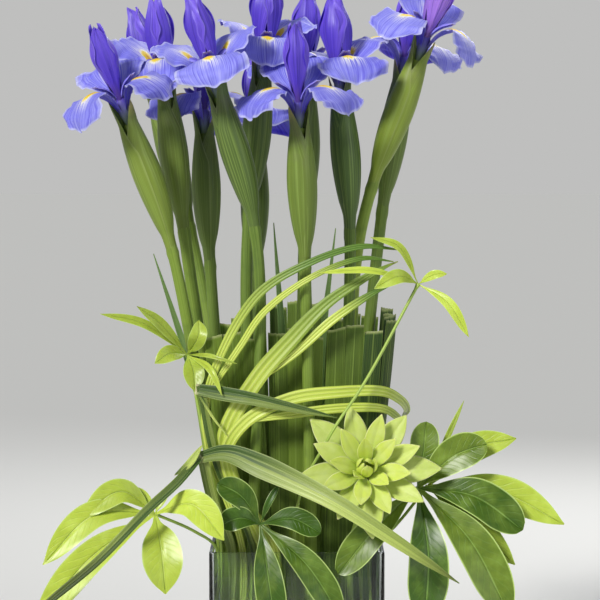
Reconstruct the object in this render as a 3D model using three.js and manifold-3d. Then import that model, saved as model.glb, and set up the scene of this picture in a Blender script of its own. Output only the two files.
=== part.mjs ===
// Cut irises in a square glass vase, with cut flax blades round the stems, lily grass looped over
// them, folded flax leaves, schefflera sprays and a succulent rosette at the rim.
// Millimetres, +Z up, origin at the centre of the vase's underside, front of the arrangement to -Y.
import * as THREE from 'three';
import { mergeVertices } from 'three/addons/utils/BufferGeometryUtils.js';
import Module from 'manifold-3d';

const wasm = await Module();
wasm.setup();

// ---- Driving dimensions ----

// Clearance between neighbouring pieces that touch in the real arrangement.
const GAP = 0.3;

const VASE = { width: 150, height: 150, wall: 4, floor: 8, corner: 5 };
const INNER = VASE.width - 2 * VASE.wall;
const RIM = VASE.height;
const FOOT = VASE.floor + GAP;
const WATER_LEVEL = 105;

// Roundness of the cavity's upright edges, and how far a cut runs past what it cuts.
const INNER_CORNER = 2;
const CUT = 250;

// An iris stem: its radius, and where its lower length is ringed, as parts of it. The top node and
// the start of the two bracts are measured down from the mouth that the bracts leave open.
const STEM = { radius: 5.4, sides: 6, rings: [0, 0.33, 0.55, 0.78, 0.98], node: 118, nodeRadius: 7 };
const BRACTS = { length: 102, radius: 12.5, mouth: 8, lip: 1.2, tip: 18, flare: 0.3 };
const SOCKET = { radius: 4.2, depth: 14.3 };

// A bloom: its tube, falls that arch out and down, style arms over them, and standards that rise
// between them. Petal outlines list a width for each row from the root to the tip.
const BLOOM = { tube: 3.2, throat: 5.5, reach: 42, petal: 0.8 };
const FALL = { width: 46, outline: [0.07, 0.24, 0.62, 1, 0.6], round: 0.13, wave: 2, cup: -0.12 };
const ARM = { path: [[1.5, 24], [9, 36], [20, 43], [31, 47]], outline: [2, 7, 13, 9] };
const STANDARD = { height: 92, outline: [2.5, 9, 30, 18], thickness: 1.4, round: 0.16, cup: 0.35 };

// Cut flax blades line the vase in groups whose blades overlap edge on edge.
const FLAX = { width: 14.5, pitch: 12.9, thickness: 1, cup: 0.06, step: 0.7, fan: 0.13 };

// The irises' own pointed leaves, and the size of the hole for each in the water.
const IRIS_LEAF = { outline: [8, 9, 10, 9, 6, 1.6], thickness: 0.9, cup: 0.15, hole: [12, 4.5] };

// Stems of the sprays and grasses stand in a lane between the front glass and the iris stems, each
// in a notch of the water's front face.
const LANE = -68.3;
const NOTCH = { slack: 4, depth: 6 };

const RIBBON = { thickness: 1.6, cup: 0.2 };
const SPRAY = { stalk: 1.3, hub: 2.2 };
const LEAFLET = { thickness: 1.5, cup: 0.12, round: 0.08, root: 1.4, tip: 2 };

const ROSETTE = { centre: [58, -94, 222], tilt: 20, leaves: 30, radius: 64, width: 21, thickness: 5 };
const ROSETTE_STALK = { foot: [46, -66.5], bend: [54, -80, 188], radius: 2.6, hole: 3.6 };
const GOLDEN_ANGLE = 137.5;

// ---- Shapes ----

const EPSILON = 0.01;
const at = (x, y, z) => new THREE.Vector3(x, y, z);
const spline = (points) => new THREE.CatmullRomCurve3(points.map((p) => at(...p)));
const radians = THREE.MathUtils.degToRad;

// A manifold solid of a closed geometry, with equal points merged and empty faces dropped.
function toSolid(geometry) {
  const bare = new THREE.BufferGeometry();
  bare.setAttribute('position', geometry.attributes.position);
  bare.setIndex(geometry.index);
  const merged = mergeVertices(bare, 1e-4);
  const corners = merged.index.array;
  const faces = [];
  for (let i = 0; i < corners.length; i += 3) {
    const [a, b, c] = corners.slice(i, i + 3);
    if (a !== b && b !== c && c !== a) faces.push(a, b, c);
  }
  const vertProperties = new Float32Array(merged.attributes.position.array);
  const triVerts = new Uint32Array(faces);
  return new wasm.Manifold(new wasm.Mesh({ numProp: 3, vertProperties, triVerts }));
}

function toGeometry(solid) {
  const { vertProperties, triVerts } = solid.getMesh();
  const geometry = new THREE.BufferGeometry();
  geometry.setAttribute('position', new THREE.BufferAttribute(vertProperties, 3));
  geometry.setIndex(new THREE.BufferAttribute(triVerts, 1));
  geometry.computeVertexNormals();
  return geometry;
}

const fuse = (solids) => solids.reduce((whole, solid) => whole.add(solid));

// A curved sheet made solid. place(u, v) gives its middle surface, u = -1..1 across and v = 0..1
// along, and thickness(u, v) its depth there. Both faces are split into triangles alike, and where
// the thickness is nothing they meet in a sharp edge.
function sheet(across, along, thickness, place) {
  const plane = new THREE.PlaneGeometry(2, 1, across, along);
  const grid = plane.attributes.position;
  const front = Array.from(plane.index.array);
  const points = [];
  for (const side of [0.5, -0.5]) {
    for (let i = 0; i < grid.count; i++) {
      const u = grid.getX(i);
      const v = 0.5 - grid.getY(i);
      const crosswise = place(u + EPSILON, v).sub(place(u - EPSILON, v));
      const ahead = place(u, Math.min(v + EPSILON, 1));
      const lengthwise = ahead.sub(place(u, Math.max(v - EPSILON, 0)));
      const normal = lengthwise.cross(crosswise).normalize();
      place(u, v).addScaledVector(normal, side * thickness(u, v)).toArray(points, points.length);
    }
  }
  const back = front.map((corner) => corner + grid.count);
  const faces = front.concat(back.reverse());
  const directed = new Set();
  for (let i = 0; i < front.length; i += 3) {
    for (let k = 0; k < 3; k++) directed.add(`${front[i + k]} ${front[i + ((k + 1) % 3)]}`);
  }
  for (const edge of directed) {
    const [from, to] = edge.split(' ').map(Number);
    if (directed.has(`${to} ${from}`)) continue;
    faces.push(to, from, from + grid.count, to, from + grid.count, to + grid.count);
  }
  const geometry = new THREE.BufferGeometry();
  geometry.setAttribute('position', new THREE.Float32BufferAttribute(points, 3));
  geometry.setIndex(faces);
  return toSolid(geometry);
}

// A leaf or petal along a spine, with one width for each row of its outline. sideOf(tangent) gives
// the direction across it. The edges rise by cup, ripple by wave and lag by round behind the
// midrib, which rounds the tip.
function leaf(spine, widths, sideOf, shape = {}) {
  const { thickness = 0.8, cup = 0, wave = 0, round = 0, across = 2, lens = false } = shape;
  const rows = widths.length - 1;
  const place = (u, v) => {
    const t = v * (1 - round * u * u);
    const row = Math.min(Math.floor(t * rows), rows - 1);
    const half = THREE.MathUtils.lerp(widths[row], widths[row + 1], t * rows - row) / 2;
    const tangent = spine.getTangentAt(t);
    const side = sideOf(tangent).clone();
    side.addScaledVector(tangent, -side.dot(tangent)).normalize();
    const up = tangent.clone().cross(side);
    const ripple = wave * Math.sin(v * rows * Math.PI / 2 + u) * u * u;
    const point = spine.getPointAt(t).addScaledVector(side, u * half);
    return point.addScaledVector(up, cup * half * u * u + ripple);
  };
  const depth = lens ? (u, v) => thickness * (1 - u * u) * (1 - v ** 8) : () => thickness;
  return sheet(across, rows, depth, place);
}

// Leaves whose face looks along a fixed direction.
const facing = (x, y, z) => (tangent) => at(x, y, z).cross(tangent);

// Bends an upright geometry along a curve: height becomes distance along it.
function bend(geometry, curve) {
  const length = curve.getLength();
  const points = geometry.attributes.position;
  for (let i = 0; i < points.count; i++) {
    const t = THREE.MathUtils.clamp(points.getZ(i) / length, 0, 1);
    const tangent = curve.getTangentAt(t);
    const front = tangent.clone().cross(at(1, 0, 0)).normalize();
    const point = curve.getPointAt(t).addScaledVector(front.clone().cross(tangent), points.getX(i));
    point.addScaledVector(front, points.getY(i));
    point.addScaledVector(tangent, points.getZ(i) - t * length);
    points.setXYZ(i, ...point.toArray());
  }
  return geometry;
}

// A body turned about +Z from a profile of [radius, height] that starts and ends on the axis.
function turned(profile, sides) {
  const outline = profile.map(([radius, height]) => new THREE.Vector2(radius, height));
  return new THREE.LatheGeometry(outline, sides).rotateX(Math.PI / 2);
}

// A stalk of even thickness along a spline, ringed at each of its points and midway between them.
function stalk(points, radius, sides = 5) {
  const curve = spline(points);
  const marks = curve.getLengths(20 * (points.length - 1)).filter((length, i) => i % 10 === 0);
  const scale = curve.getLength() / marks.at(-1);
  const rings = marks.map((mark) => [radius, mark * scale]);
  const profile = [[0, 0], ...rings, [0, curve.getLength()]];
  return toSolid(bend(turned(profile, sides), curve));
}

function roundedSquare(width, corner) {
  const half = width / 2;
  const inset = half - corner;
  const square = new THREE.Shape();
  for (let i = 0; i < 4; i++) {
    const turn = i * Math.PI / 2;
    const [x, y] = [[inset, inset], [-inset, inset], [-inset, -inset], [inset, -inset]][i];
    square.absarc(x, y, corner, turn, turn + Math.PI / 2);
  }
  return square;
}

function block(width, corner, bottom, top) {
  const settings = { depth: top - bottom, bevelEnabled: false, curveSegments: 3 };
  const prism = new THREE.ExtrudeGeometry(roundedSquare(width, corner), settings);
  return toSolid(mergeVertices(prism.translate(0, 0, bottom)));
}

// ---- Irises ----

// foot and rim: where a stem stands and where it leaves the vase, [x, y]. knee: the stem below its
// top node. neck: the mouth of the bracts. yaw: heading of the first fall, in degrees from +X.
const IRISES = [
  { foot: [-50, -14], rim: [-65, -20], knee: [-110, -34, 416], neck: [-144, -45, 515], yaw: -27, reach: 40 },
  { foot: [-46, 6], rim: [-60, 2], knee: [-98, 2, 416], neck: [-113, 6, 536], yaw: -100, reach: 38 },
  { foot: [-34, 46], rim: [-48, 46], knee: [-94, 76, 412], neck: [-126, 98, 535], yaw: 40 },
  { foot: [-36, -60.5], rim: [-38, -60.5], knee: [-34, -66, 412], neck: [-66, -70, 537], yaw: -88, reach: 40 },
  { foot: [-24, -8], rim: [-34, -12], knee: [-44, -13, 385], neck: [-31, -15, 555], yaw: -82, reach: 36 },
  { foot: [2, 38], rim: [2, 44], knee: [6, 48, 400], neck: [8, 50, 543], yaw: 80 },
  { foot: [10, -60.5], rim: [12, -60.5], knee: [7, -70, 390], neck: [2, -78, 511], yaw: -30 },
  { foot: [24, -16], rim: [34, -22], knee: [46, -22, 410], neck: [38, -20, 537], yaw: -70, reach: 37 },
  { foot: [40, 2], rim: [50, 2], knee: [54, 2, 412], neck: [105, -12, 570], yaw: -21, reach: 41 },
  { foot: [34, 30], rim: [46, 36], knee: [75, 54, 430], neck: [93, 62, 554], yaw: 80 },
  { foot: [-42, 26], rim: [-57, 24], knee: [-77, 46, 385], neck: [-82, 52, 507], yaw: 107 },
  { foot: [-18, 30], rim: [-28, 34], knee: [-38, 66, 376], neck: [-38, 92, 493], yaw: -84, reach: 38 },
];

const stemCurve = ({ foot, rim, knee, neck }) => spline([[...foot, FOOT], [...rim, RIM], knee, neck]);

// One stem with its node ring and the pair of pointed bracts, open on top where the bloom sits.
function irisStem(iris) {
  const curve = stemCurve(iris);
  const length = curve.getLength();
  const bare = length - STEM.node;
  const profile = [
    [0, 0],
    ...STEM.rings.map((part) => [STEM.radius, part * bare]),
    [STEM.nodeRadius, bare],
    [0.5 * BRACTS.radius, length - BRACTS.length],
    [0.85 * BRACTS.radius, length - 0.72 * BRACTS.length],
    [BRACTS.radius, length - 0.45 * BRACTS.length],
    [BRACTS.mouth, length],
    [BRACTS.mouth - BRACTS.lip, length],
    [SOCKET.radius, length - SOCKET.depth],
    [0, length - SOCKET.depth],
  ];
  const body = turned(profile, STEM.sides);
  const points = body.attributes.position;
  for (let i = 0; i < points.count; i++) {
    if (points.getZ(i) < length - EPSILON) continue;
    const ridge = (points.getX(i) / Math.hypot(points.getX(i), points.getY(i))) ** 4;
    points.setZ(i, length + BRACTS.tip * ridge);
    points.setX(i, points.getX(i) * (1 + BRACTS.flare * ridge));
  }
  const base = Array.from({ length: points.count }, (_, i) => points.getZ(i) < EPSILON);
  bend(body, curve);
  base.forEach((isBase, i) => isBase && points.setZ(i, FOOT));
  return toSolid(body);
}

// The hole that a stem fills in the water, as straight as the stem is up to its second ring.
function stemHole(iris) {
  const curve = stemCurve(iris);
  const radius = STEM.radius + 1.6 * GAP;
  const top = STEM.rings[1] * (curve.getLength() - STEM.node);
  return toSolid(bend(turned([[0, -3], [radius, -3], [radius, top], [0, top]], STEM.sides), curve));
}

const radial = (turn, path) => path.map(([r, z]) => [r * Math.cos(turn), r * Math.sin(turn), z]);

function petal(turn, path, widths, shape) {
  const side = at(-Math.sin(turn), Math.cos(turn), 0);
  return leaf(spline(radial(turn, path)), widths, () => side, { thickness: BLOOM.petal, ...shape });
}

// One bloom about +Z, its tube reaching down into the bracts.
function irisBloom({ yaw, reach = BLOOM.reach }) {
  const tubeFoot = GAP - SOCKET.depth;
  const sheath = [[0, tubeFoot], [BLOOM.tube, tubeFoot], [BLOOM.tube, 2], [BLOOM.throat, 14]];
  const tube = [...sheath, [3, 25], [0, 26]];
  const arch = [[0.42 * reach, 34], [0.72 * reach, 33], [reach, 20], [1.05 * reach, 8]];
  const rise = [[3, 18], [8, 0.4 * STANDARD.height], [15, 0.68 * STANDARD.height], [8, STANDARD.height]];
  const fallWidths = FALL.outline.map((part) => part * FALL.width);
  const petals = [toSolid(turned(tube, 6).rotateZ(radians(yaw)))];
  for (const third of [0, 120, 240]) {
    const turn = radians(yaw + third);
    petals.push(petal(turn, [[3.5, 11], [9, 25], ...arch], fallWidths, FALL));
    petals.push(petal(turn, ARM.path, ARM.outline, { across: 1 }));
    petals.push(petal(turn + Math.PI / 3, rise, STANDARD.outline, { ...STANDARD, lens: true }));
  }
  return fuse(petals);
}

// ---- Cut flax blades ----

// Blades stand in groups along the walls: the wall's outward heading in degrees, the group's place
// along the wall, how far in it stands, its height, how far it flares out, and its blade count.
const FLAX_GROUPS = [
  { name: 'front_left', heading: -90, along: -44, from: 53, top: 335, lean: [-12, 3], count: 3 },
  { name: 'front_middle', heading: -90, along: -1, from: 53, top: 338, lean: [0, 4], count: 3 },
  { name: 'front_right', heading: -90, along: 42, from: 53, top: 330, lean: [8, 5], count: 3 },
  { name: 'right_front', heading: 0, along: -31, from: 69, top: 352, lean: [-4, 13], count: 3 },
  { name: 'right_middle', heading: 0, along: 12, from: 69, top: 359, lean: [2, 13], count: 3 },
  { name: 'right_back', heading: 0, along: 48, from: 69, top: 350, lean: [8, 12], count: 2 },
  { name: 'back_right', heading: 90, along: -42, from: 69, top: 345, lean: [-8, 14], count: 3 },
  { name: 'back_middle', heading: 90, along: 1, from: 69, top: 356, lean: [0, 14], count: 3 },
  { name: 'back_left', heading: 90, along: 44, from: 69, top: 340, lean: [8, 13], count: 3 },
  { name: 'left_back', heading: 180, along: -43, from: 69, top: 330, lean: [-8, 18], count: 3 },
];

// Heights of neighbouring cut ends differ by a few millimetres.
const FLAX_CUTS = [0, 7, -4];

// Points on a group: s along the wall, d out from the axis, z up.
function wallPoint({ heading }, s, d, z) {
  const turn = radians(heading);
  return [d * Math.cos(turn) - s * Math.sin(turn), d * Math.sin(turn) + s * Math.cos(turn), z];
}

function flaxBlades(group) {
  const blades = [];
  for (let i = 0; i < group.count; i++) {
    const offset = (i - (group.count - 1) / 2) * FLAX.pitch;
    const s = group.along + offset;
    const d = group.from - (i % 2) * FLAX.step;
    const [sideways, outward] = group.lean;
    const high = group.top + FLAX_CUTS[i];
    const bent = [s + 0.4 * sideways, d + 0.35 * outward, (RIM + high) / 2];
    const end = [s + sideways + FLAX.fan * offset, d + outward, high];
    const spine = [[s, d, FOOT], [s, d, 0.9 * RIM], bent, end].map((p) => wallPoint(group, ...p));
    const along = at(...wallPoint(group, 1, 0, 0));
    const w = FLAX.width;
    blades.push(leaf(spline(spine), [w, w, w, 0.93 * w], () => along, FLAX));
  }
  return fuse(blades);
}

// The slot that a group of blades fills in the water.
function flaxSlot(group) {
  const width = FLAX.pitch * (group.count - 1) + FLAX.width + 5 * GAP;
  const depth = FLAX.thickness + FLAX.step + 7 * GAP;
  const slot = new THREE.BoxGeometry(width, depth, 2 * WATER_LEVEL);
  slot.rotateZ(radians(group.heading + 90));
  const [x, y] = wallPoint(group, group.along, group.from - FLAX.step, 0);
  return toSolid(slot.translate(x, y, WATER_LEVEL));
}

// Pointed leaves of the irises themselves, that stand among the stems.
const IRIS_LEAVES = [
  { name: 'left', foot: [-63.5, -9], bends: [[-78, -12, 250], [-97, -14, 318]], tip: [-124, -26, 403] },
  { name: 'middle', foot: [-8, -27], bends: [[-10, -32, 240], [-12, -36, 320]], tip: [-20, -34, 430] },
  { name: 'right', foot: [14, 3], bends: [[18, 6, 240], [22, 10, 320]], tip: [34, 12, 424] },
];

function irisLeaf({ foot, bends, tip }) {
  const spine = spline([[...foot, FOOT], [...foot, 0.9 * RIM], ...bends, tip]);
  return leaf(spine, IRIS_LEAF.outline, facing(0, -1, 0), IRIS_LEAF);
}

// ---- Lily grass and folded leaves ----

// Ribbons that rise from the lane and arch across the front. The first strand of each piece stands
// in the vase and the others branch from it; a fold is where two strands meet at an angle.
const RIBBONS = [
  {
    name: 'lily_grass_top',
    color: 0xc4d65c,
    foot: -46.5,
    strands: [
      {
        spine: [[-46.5, LANE, RIM + 2], [-75, -71, 240], [-76, -72, 286], [-35, -78, 368],
          [12, -84, 398], [54, -82, 411], [88, -76, 408]],
        widths: [4, 5, 5, 5, 5.5, 6, 6, 6, 6.5, 6.5, 6, 5, 4, 1.5],
      },
      {
        spine: [[-76, -72, 284], [-48, -74, 326], [-28, -76, 355], [14, -82, 386],
          [56, -79, 401], [82, -74, 398]],
        widths: [3, 5, 5.5, 5.5, 5, 4.5, 4, 1.5],
      },
    ],
  },
  {
    name: 'lily_grass_middle',
    color: 0xcbdc66,
    foot: -29,
    strands: [
      {
        spine: [[-29, LANE, RIM + 2], [-54, -68.8, 208], [-61, -73, 248], [-35, -77, 297],
          [-6, -79, 331], [28, -79, 365], [74, -75, 393], [86, -71, 398]],
        widths: [5, 6, 8, 10, 11, 12, 12, 12, 11, 9, 6, 1.5],
      },
      {
        spine: [[-34, -77, 296], [-4, -77, 318], [32, -77, 350], [66, -75, 372], [84, -73, 380]],
        widths: [3, 5, 6, 6, 5, 1.5],
      },
    ],
  },
  {
    name: 'lily_grass_low',
    color: 0xd2e06c,
    foot: -19.5,
    strands: [
      {
        spine: [[-19.5, LANE, RIM + 2], [-50, -74, 200], [-60, -79, 236], [-44, -82, 262],
          [-6, -84, 282], [36, -84, 288], [72, -76, 288], [88, -52, 279], [96, -10, 266],
          [93, 30, 256]],
        widths: [5, 6, 7, 8, 9, 9, 9, 9, 9, 9, 9, 8, 7, 6, 4, 1.5],
      },
      {
        spine: [[-43, -82, 263], [-4, -83, 269], [36, -83, 274], [72, -73, 273],
          [86, -52, 264], [92, -30, 256]],
        widths: [3, 5, 7, 7, 7, 6, 5, 1.5],
      },
    ],
  },
  {
    name: 'flax_leaf_low',
    color: 0x8fae4a,
    foot: -56,
    strands: [
      {
        spine: [[-56, LANE, RIM + 2], [-71, -75, 192], [-81, -85, 238]],
        widths: [6, 8, 9, 9],
      },
      {
        spine: [[-87, -84, 231], [-60, -93, 237], [-31, -108, 228], [28, -138, 203], [75, -153, 175],
          [134, -158, 136]],
        widths: [8, 17, 22, 24, 23, 20, 16, 10, 1.6],
      },
      {
        spine: [[-80, -84.5, 236], [-100, -104, 214], [-124, -120, 193], [-166, -136, 151],
          [-212, -146, 113], [-228, -148, 97]],
        widths: [8, 10, 10, 9, 9, 8, 2],
      },
    ],
  },
  {
    name: 'flax_leaf_high',
    color: 0x5c6e2c,
    foot: -37.5,
    strands: [
      {
        spine: [[-37.5, LANE, RIM + 2], [-68, -76, 226], [-82, -79.5, 293]],
        widths: [4, 5, 6, 7, 7],
      },
      {
        spine: [[-86, -78.6, 290], [-60, -84, 286], [-40, -89, 283], [-6, -94, 276], [34, -93, 267]],
        widths: [9, 12, 11, 9, 6, 1.5],
      },
      {
        spine: [[-83, -79, 286], [-71, -82, 266], [-60, -84, 252]],
        widths: [3, 2.5, 2, 1.4],
      },
    ],
  },
];

function ribbon({ foot, strands }) {
  const [standing, ...others] = strands;
  const [first, ...rest] = standing.spine;
  const spine = [[foot, LANE, FOOT], [foot, LANE, 0.6 * RIM], first, ...rest];
  const widths = [standing.widths[0], standing.widths[0], ...standing.widths];
  const shape = { ...RIBBON, lens: true };
  const strip = (points, outline) => leaf(spline(points), outline, facing(0, -1, 0.1), shape);
  return fuse([strip(spine, widths), ...others.map((strand) => strip(strand.spine, strand.widths))]);
}

// ---- Schefflera ----

// A spray is a long leaf stalk with leaflets spread from its end, the hub. stalk: its points above
// the rim. leaflets: tip, middle of the spine and greatest width.
const SPRAYS = [
  {
    name: 'schefflera_upper_left',
    color: 0xa2cf4c,
    foot: -64.5,
    stalk: [[-70, -62, 190], [-80, -57, 250]],
    hub: [-94, -48, 317],
    leaflets: [
      { tip: [-168, -62, 353], middle: [-130, -60, 344], width: 8 },
      { tip: [-136, -72, 360], middle: [-118, -64, 346], width: 10 },
      { tip: [-84, -54, 347], middle: [-84, -60, 334], width: 15 },
      { tip: [-121, -70, 311], middle: [-108, -64, 319], width: 15 },
      { tip: [-87, -68, 287], middle: [-88, -62, 303], width: 18 },
      { tip: [-50, -88, 312], middle: [-73, -80, 318], width: 4 },
      { tip: [-63, -88, 285], middle: [-73, -82, 306], width: 6 },
    ],
  },
  {
    name: 'schefflera_upper_right',
    color: 0xa9cc58,
    foot: -3,
    stalk: [[4, -84, 205], [21, -99, 240], [32, -104, 260], [58, -92, 298]],
    hub: [103, -76, 379],
    leaflets: [
      { tip: [62, -86, 419], middle: [86, -86, 411], width: 8 },
      { tip: [18, -90, 389], middle: [62, -90, 391], width: 6 },
      { tip: [65, -96, 376], middle: [86, -92, 386], width: 17 },
      { tip: [127, -84, 388], middle: [116, -82, 387], width: 11 },
      { tip: [145, -92, 335], middle: [127, -88, 364], width: 12 },
    ],
  },
  {
    name: 'schefflera_lower_left',
    color: 0xa6d34a,
    foot: -68.5,
    stalk: [[-86, -79, 168]],
    hub: [-120, -91, 185],
    leaflets: [
      { tip: [-181, -104, 184], middle: [-148, -98, 205], width: 22 },
      { tip: [-213, -114, 145], middle: [-170, -104, 186], width: 25 },
      { tip: [-222, -128, 92], middle: [-172, -118, 152], width: 28 },
      { tip: [-110, -118, 121], middle: [-113, -112, 154], width: 34 },
      { tip: [-61, -116, 166], middle: [-88, -106, 195], width: 26 },
      { tip: [-134, -86, 207], middle: [-128, -88, 198], width: 8 },
      { tip: [-108, -86, 207], middle: [-114, -88, 198], width: 8 },
    ],
  },
  {
    name: 'schefflera_middle',
    color: 0x6d9a34,
    foot: -11,
    stalk: [[-19, -78, 166]],
    hub: [-31, -88, 176],
    leaflets: [
      { tip: [-67, -88, 211], middle: [-47, -90, 200], width: 22 },
      { tip: [-64, -96, 176], middle: [-48, -95, 182], width: 20 },
      { tip: [-18, -106, 92], middle: [-24, -104, 132], width: 25 },
      { tip: [37, -108, 100], middle: [8, -104, 144], width: 25 },
      { tip: [20, -102, 170], middle: [-4, -98, 182], width: 20 },
      { tip: [-16, -88, 208], middle: [-24, -90, 194], width: 6 },
    ],
  },
  {
    name: 'schefflera_right',
    color: 0x5c8c2c,
    foot: 56,
    stalk: [[72, -77, 172]],
    hub: [103, -80, 206],
    leaflets: [
      { tip: [161, -86, 244], middle: [134, -84, 234], width: 30 },
      { tip: [191, -96, 172], middle: [150, -90, 200], width: 33 },
      { tip: [178, -104, 104], middle: [146, -98, 164], width: 34 },
      { tip: [108, -106, 98], middle: [111, -100, 150], width: 34 },
      { tip: [110, -76, 262], middle: [108, -78, 238], width: 24 },
      { tip: [35, -94, 134], middle: [66, -92, 172], width: 27 },
    ],
  },
  {
    name: 'schefflera_right_back',
    color: 0xa3c94a,
    foot: 64,
    stalk: [[84, -70, 172]],
    hub: [112, -66, 206],
    leaflets: [
      { tip: [187, -70, 247], middle: [150, -68, 238], width: 25 },
      { tip: [227, -82, 175], middle: [172, -74, 202], width: 29 },
      { tip: [185, -86, 141], middle: [152, -78, 172], width: 24 },
      { tip: [143, -62, 279], middle: [128, -64, 246], width: 5 },
    ],
  },
];

function spray({ foot, stalk: bends, hub, leaflets }) {
  const route = [[foot, LANE, FOOT], [foot, LANE, 0.6 * RIM], [foot, LANE, RIM + 2], ...bends, hub];
  const knob = new THREE.SphereGeometry(SPRAY.hub, 5, 3).translate(...hub);
  const pieces = [stalk(route, SPRAY.stalk), toSolid(knob)];
  for (const { tip, middle, width: w } of leaflets) {
    const side = facing(0, -1, 0.35)(at(...tip).sub(at(...hub)));
    const outline = [LEAFLET.root, 0.6 * w, w, 0.75 * w, LEAFLET.tip];
    pieces.push(leaf(spline([hub, middle, tip]), outline, () => side, { ...LEAFLET, lens: true }));
  }
  return fuse(pieces);
}

// ---- Rosette ----

// Leaves follow the golden angle, from long flat outer ones to short upright ones at the heart.
function rosette() {
  const heart = new THREE.SphereGeometry(9, 7, 4).translate(0, 0, -3);
  const pieces = [toSolid(heart)];
  for (let i = 0; i < ROSETTE.leaves; i++) {
    const age = 1 - i / ROSETTE.leaves;
    const length = ROSETTE.radius * (0.32 + 0.68 * age);
    const rise = radians(78 - 70 * age ** 0.8);
    const turn = radians(GOLDEN_ANGLE * i);
    const [out, up] = [length * Math.cos(rise), length * Math.sin(rise)];
    const path = [[4, 0], [0.5 * out, 0.38 * up], [out, up]];
    const w = ROSETTE.width * (0.35 + 0.65 * age);
    const thickness = ROSETTE.thickness * (0.5 + 0.5 * age);
    const outline = [0.4 * w, 0.75 * w, w, 0.8 * w, 1];
    pieces.push(petal(turn, path, outline, { thickness, cup: 0.12, lens: true }));
  }
  const tilt = new THREE.Matrix4().makeRotationX(radians(90 - ROSETTE.tilt));
  tilt.setPosition(...ROSETTE.centre);
  const head = fuse(pieces).transform(tilt.elements);
  const [x, y, z] = ROSETTE.centre;
  const { foot, bend: knee, radius } = ROSETTE_STALK;
  const route = [[...foot, FOOT], [...foot, 0.6 * RIM], [...foot, RIM + 3], knee, [x, y + 6, z]];
  return head.add(stalk(route, radius, 6));
}

// ---- Vase and water ----

function vase() {
  const outside = block(VASE.width, VASE.corner, 0, VASE.height);
  return outside.subtract(block(INNER, INNER_CORNER, VASE.floor, VASE.height + 1));
}

// Water with a plain hole for every stem, leaf and blade that stands in it.
function water() {
  const box = (width, depth) => new THREE.BoxGeometry(width, depth, CUT);
  const shaft = (width, depth, x, y) => toSolid(box(width, depth).translate(x, y, 0));
  const notch = (x, width) => shaft(width + NOTCH.slack, NOTCH.depth, x, LANE - 1);
  const round = new THREE.CylinderGeometry(ROSETTE_STALK.hole, ROSETTE_STALK.hole, CUT, 6);
  const holes = [
    ...IRISES.map(stemHole),
    ...FLAX_GROUPS.map(flaxSlot),
    ...RIBBONS.map(({ foot, strands }) => notch(foot, strands[0].widths[0])),
    ...SPRAYS.map(({ foot }) => notch(foot, 2 * SPRAY.stalk)),
    ...IRIS_LEAVES.map(({ foot }) => shaft(...IRIS_LEAF.hole, ...foot)),
    toSolid(round.rotateX(Math.PI / 2).translate(...ROSETTE_STALK.foot, 0)),
  ];
  const body = block(INNER - 2 * GAP, INNER_CORNER, FOOT, WATER_LEVEL);
  return body.subtract(fuse(holes));
}

// ---- Build ----

function addPiece(parent, name, solid, color, roughness = 0.6) {
  const material = new THREE.MeshStandardMaterial({ color, roughness, metalness: 0 });
  const mesh = new THREE.Mesh(toGeometry(solid), material);
  mesh.name = name;
  parent.add(mesh);
  return mesh;
}

const irises = new THREE.Group();
IRISES.forEach((iris, index) => {
  const number = String(index + 1).padStart(2, '0');
  addPiece(irises, `iris_${number}_stem`, irisStem(iris), 0x7da043);
  const bloom = addPiece(irises, `iris_${number}_bloom`, irisBloom(iris), 0x7f7be8, 0.7);
  bloom.position.set(...iris.neck);
  bloom.quaternion.setFromUnitVectors(at(0, 0, 1), stemCurve(iris).getTangentAt(1));
});
for (const iris of IRIS_LEAVES) addPiece(irises, `iris_leaf_${iris.name}`, irisLeaf(iris), 0x6f9170);

const container = new THREE.Group();
addPiece(container, 'vase', vase(), 0xdfe9e6, 0.05);
addPiece(container, 'water', water(), 0xcfe0dc, 0.05);

const greenery = new THREE.Group();
for (const group of FLAX_GROUPS) addPiece(greenery, `flax_${group.name}`, flaxBlades(group), 0x5f7a35);
for (const strip of RIBBONS) addPiece(greenery, strip.name, ribbon(strip), strip.color);
for (const plant of SPRAYS) addPiece(greenery, plant.name, spray(plant), plant.color);
addPiece(greenery, 'rosette', rosette(), 0xb9cf66);

const bouquet = new THREE.Group();
bouquet.add(container, irises, greenery);

export default bouquet;
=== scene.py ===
import bisect
import math
import random
from collections import namedtuple

import bmesh
import bpy
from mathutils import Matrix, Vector
from mathutils.geometry import interpolate_bezier


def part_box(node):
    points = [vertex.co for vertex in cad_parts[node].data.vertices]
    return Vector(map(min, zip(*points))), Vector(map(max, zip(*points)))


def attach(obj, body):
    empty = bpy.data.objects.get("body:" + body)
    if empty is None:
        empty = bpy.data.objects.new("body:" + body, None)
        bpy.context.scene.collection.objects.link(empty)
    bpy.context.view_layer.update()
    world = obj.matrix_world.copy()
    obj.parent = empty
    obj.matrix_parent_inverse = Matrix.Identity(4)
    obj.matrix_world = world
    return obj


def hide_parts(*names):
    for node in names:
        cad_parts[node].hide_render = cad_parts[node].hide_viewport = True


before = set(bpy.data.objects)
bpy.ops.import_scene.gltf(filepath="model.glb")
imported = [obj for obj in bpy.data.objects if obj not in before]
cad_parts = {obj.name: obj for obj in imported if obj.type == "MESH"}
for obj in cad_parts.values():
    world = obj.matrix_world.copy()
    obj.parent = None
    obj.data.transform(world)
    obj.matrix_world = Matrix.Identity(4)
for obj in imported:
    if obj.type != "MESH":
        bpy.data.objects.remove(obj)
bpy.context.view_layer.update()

# ---- Vase ----
# A square vase of clear pressed glass with a thick floor, rounded upright corners and fire-polished
# edges. It stands on its flat underside and carries everything else.

MM = 0.001
VASE_WALL = 4
VASE_FLOOR = 8

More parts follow.
